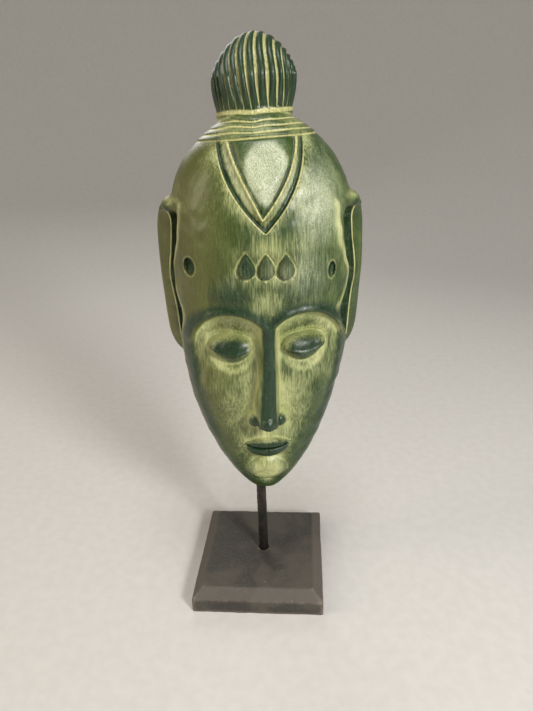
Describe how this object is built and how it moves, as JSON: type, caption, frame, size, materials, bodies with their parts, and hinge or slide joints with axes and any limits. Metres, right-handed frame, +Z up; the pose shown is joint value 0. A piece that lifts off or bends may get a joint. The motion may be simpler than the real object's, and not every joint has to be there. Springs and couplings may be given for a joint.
{
  "type": "carved wooden mask on stand",
  "caption": "Tall carved and painted wooden mask with topknot and long ears, hollow at the back, held upright on a rod and a square block.",
  "frame": {"origin": "centre of the block's underside", "axes": "+Z up along the rod, -Y towards the front of the block, +X to the right as seen from the front"},
  "size_m": [0.1745, 0.1373, 0.5067],
  "materials": {
    "block_paint": "matt black-brown paint on wood, worn at the edges",
    "rod_steel": "rough dark lacquer on iron",
    "mask_paint": "satin green paint with a pale wash left in the hollows"
  },
  "bodies": {
    "block": {"base_block": "block_paint"},
    "upright": {"rod": "rod_steel"},
    "mask": {"mask": "mask_paint"}
  },
  "joints": [
    {"name": "rod_turn", "type": "hinge", "parent": "block", "child": "upright", "pos_m": [0.0025, 0, 0.0061], "axis": [0, 0, 1], "continuous": true},
    {"name": "mask_lift", "type": "slide", "parent": "upright", "child": "mask", "axis": [0, 0, 1], "range_m": [0, 0.08]}
  ]
}
